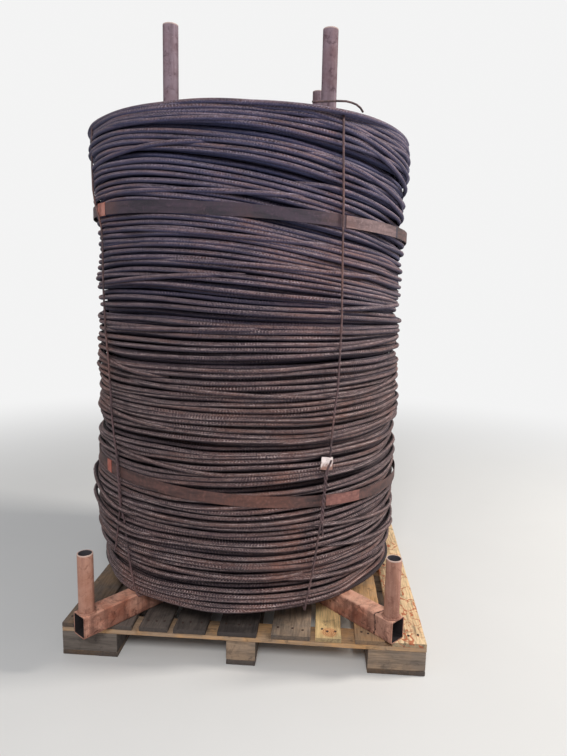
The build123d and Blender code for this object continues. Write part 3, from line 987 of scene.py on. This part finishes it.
def rod_along(name, points):
    """Round rod through listed points."""
    curve = bpy.data.curves.new(name, "CURVE")
    curve.dimensions = "3D"
    curve.bevel_depth = rod_radius
    curve.bevel_resolution = 2
    curve.use_fill_caps = True
    spline = curve.splines.new("POLY")
    spline.points.add(len(points) - 1)
    for point, place in zip(spline.points, points):
        point.co = (*place, 1)
    piece = bpy.data.objects.new(name, curve)
    scene.collection.objects.link(piece)
    bpy.ops.object.select_all(action="DESELECT")
    piece.select_set(True)
    bpy.context.view_layer.objects.active = piece
    bpy.ops.object.convert(target="MESH")
    piece = bpy.context.object
    bpy.ops.object.shade_smooth_by_angle(angle=radians(50))
    piece.data.materials.append(rod_finish)
    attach(piece, "root")
    return piece


def eased(before, corner, after, bend=0.009):
    """Three points that round a corner."""
    start = corner + (before - corner).normalized() * bend
    end = corner + (after - corner).normalized() * bend
    return [start, corner.lerp((start + end) / 2, 0.55), end]


def outside(places):
    """Points at bearings and heights on the coil, as far out as a third number may say."""
    return [round_coil(bearing, rod_reach + sum(out), height) for bearing, height, *out in places]


def tie_rod(place, over, tuck, upper, lap, lower, inside, under, tail):
    """Rod up from its tail through the lap, over the top, down the bore and back to the lap. Its
    outer corner is tucked in among the top turns."""
    twists, steps = 4.5, 54
    strands = []
    for phase in (0, pi):
        strand = []
        for step in range(steps + 1):
            share = step / steps
            turn = phase + 2 * pi * twists * share
            bearing = lap[1][0] + (lap[0][0] - lap[1][0]) * share
            height = lap[1][1] + (lap[0][1] - lap[1][1]) * share
            aside = degrees(rod_radius * cos(turn) / rod_reach)
            strand.append(round_coil(bearing + aside, rod_reach + rod_radius * (1 + sin(turn)), height))
        strands.append(strand)
    above, below = outside(upper[::-1]), outside(lower[::-1])
    corners = [
        above[-1],
        round_coil(over, rod_reach, rod_over - tuck),
        round_coil(over, outer_radius - 0.034, rod_over - 0.001),
        round_coil(inside, rod_inside, rod_over),
        round_coil(inside, rod_inside, rod_under),
        round_coil(under, rod_reach, rod_under),
        below[0],
    ]
    points = outside(tail[0]) + strands[0] + above
    for before, corner, after in zip(corners, corners[1:], corners[2:]):
        points += eased(before, corner, after)
    points += below + strands[1] + outside(tail[1])
    piece = rod_along(f"twisted_rod_{place}", points)
    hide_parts(f"tie_rod_{place}")


tie_rod(
    "front_right", over=-56.6, tuck=0.022, inside=-61.0, under=-64.6,
    upper=((-56.4, 1.70), (-55.6, 1.519), (-55.2, 1.339), (-54.7, 1.153), (-55.0, 1.026), (-55.3, 0.929),
           (-56.2, 0.864), (-56.7, 0.798), (-57.4, 0.699)),
    lap=((-58.7, 0.655), (-59.9, 0.482)),
    lower=((-60.8, 0.431), (-62.2, 0.329), (-63.4, 0.261), (-64.3, 0.222)),
    tail=(((-59.4, 0.445, 0.006),), ((-58.0, 0.678, 0.005), (-57.3, 0.70, 0.009))),
)
tie_rod(
    "front_left", over=-149.0, tuck=0.010, inside=-117.0, under=-121.6,
    upper=((-150.0, 1.72), (-150.8, 1.65), (-149.9, 1.575), (-146.4, 1.52), (-142.4, 1.475),
           (-140.2, 1.44), (-139.5, 1.395), (-139.6, 1.231), (-138.6, 1.095), (-136.7, 0.994),
           (-135.7, 0.891), (-134.7, 0.787), (-133.5, 0.719)),
    lap=((-131.2, 0.665), (-129.8, 0.496)),
    lower=((-128.2, 0.446), (-126.7, 0.36), (-125.3, 0.292), (-123.4, 0.218)),
    tail=(((-133.0, 0.318, 0.009), (-131.4, 0.399, 0.006), (-130.4, 0.466, 0.004)),
          ((-131.0, 0.69, 0.008),)),
)
tie_rod(
    "back_right", over=30.0, tuck=0.003, inside=30.0, under=31.0,
    upper=((30.4, 1.62), (29.6, 1.40), (31.2, 1.19), (30.2, 0.98), (29.0, 0.80), (29.6, 0.66)),
    lap=((30.5, 0.56), (31.0, 0.42)),
    lower=((30.6, 0.36), (31.4, 0.29), (31.0, 0.225)),
    tail=(((31.8, 0.36, 0.007),), ((29.8, 0.59, 0.006),)),
)
tie_rod(
    "back_left", over=117.0, tuck=0.003, inside=118.0, under=116.0,
    upper=((116.6, 1.62), (117.6, 1.42), (116.0, 1.24), (117.2, 1.02), (118.0, 0.84), (117.6, 0.70)),
    lap=((117.0, 0.60), (116.2, 0.45)),
    lower=((116.6, 0.38), (115.6, 0.30), (116.0, 0.225)),
    tail=(((115.2, 0.40, 0.007),), ((117.8, 0.63, 0.006),)),
)
loose_places = (
    (-66.0, 0.587, 1.7925), (-62.5, 0.587, 1.798), (-58.0, 0.589, 1.806), (-55.0, 0.592, 1.8095),
    (-53.0, 0.593, 1.809), (-51.2, 0.593, 1.807), (-49.4, 0.591, 1.8015), (-48.0, 0.588, 1.793),
)
loose_rod = rod_along("bent_loose_rod", [round_coil(*place) for place in loose_places])
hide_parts("loose_rod")


# Tag: a blank card folded once round the front right rod. It is faded, stained from below and
# crumpled, and its free ends are bent up a little.
tag_low, tag_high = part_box("tie_tag")
tag_middle = (tag_low + tag_high) / 2
tag_finish, tree, shader = new_material("faded_tag", roughness=0.7)
stain = cloudy(object_place(tree), 70, 6, 0.7, 0.5)
low_down = ranged(parts(object_place(tree))["Z"], tag_high.z - 0.008, tag_low.z, 0.0, 0.28)
stained = ranged(total(stain, low_down), 0.5, 0.72)
paint(shader, mixed(stained, tint(236, 220, 216), tint(146, 108, 96)))
crease = add_node(tree, "Bump", {"Height": stain, "Distance": 0.002})
link(crease.outputs[0], shader.inputs["Normal"])
tag_bearing = degrees(atan2(tag_middle.y - axis_y, tag_middle.x - axis_x))
rod_side, card_bend, card_half = 0.017, 0.0042, 0.0004
centre_line = [(-0.0215, 0.0012), (-0.013, 0.0020), (-0.004, 0.0030), (0.005, 0.0038), (0.012, 0.0042)]
angles = [radians(angle) for angle in range(90, -91, -30)]
turned_line = [(rod_side + card_bend * cos(angle), card_bend * sin(angle)) for angle in angles]
back_line = [(side, -out) for side, out in reversed(centre_line)]
card_line = centre_line + turned_line + back_line
corners, faces = [], []
rows, count = 9, len(card_line)
for row in range(rows):
    rise = (tag_high.z - tag_low.z) * (row / (rows - 1) - 0.5)
    for face in (1, -1):
        for index, (side, out) in enumerate(card_line):
            before = Vector(card_line[max(0, index - 1)])
            step = (Vector(card_line[min(count - 1, index + 1)]) - before).normalized()
            free = min(1.0, max(0.0, (0.012 - side) / 0.02))
            crumple = 0.005 * free * noise.noise(Vector((side * 70, rise * 70, index // (count // 2))))
            lift = 0.12 * free * (rod_side - side)
            along = side - step.y * card_half * face + 0.1 * free * rise
            reach = rod_reach + out + step.x * card_half * face + crumple
            bearing = tag_bearing + degrees(along / rod_reach)
            corners.append(round_coil(bearing, reach, tag_middle.z + rise + lift))
# The second half of a row is the card's inner face, met from its far end.
order = [*range(count), *range(2 * count - 1, count - 1, -1)]
for row in range(rows - 1):
    low, high = row * 2 * count, (row + 1) * 2 * count
    for near, after in zip(order, order[1:] + order[:1]):
        faces.append((low + near, low + after, high + after, high + near))
for index in range(count - 1):
    for row, turned in ((0, -1), (rows - 1, 1)):
        low = row * 2 * count + index
        faces.append([low, low + 1, low + count + 1, low + count][::turned])
tag = new_piece("crumpled_tag", corners, faces, tag_finish)
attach(tag, "root")
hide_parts("tie_tag")
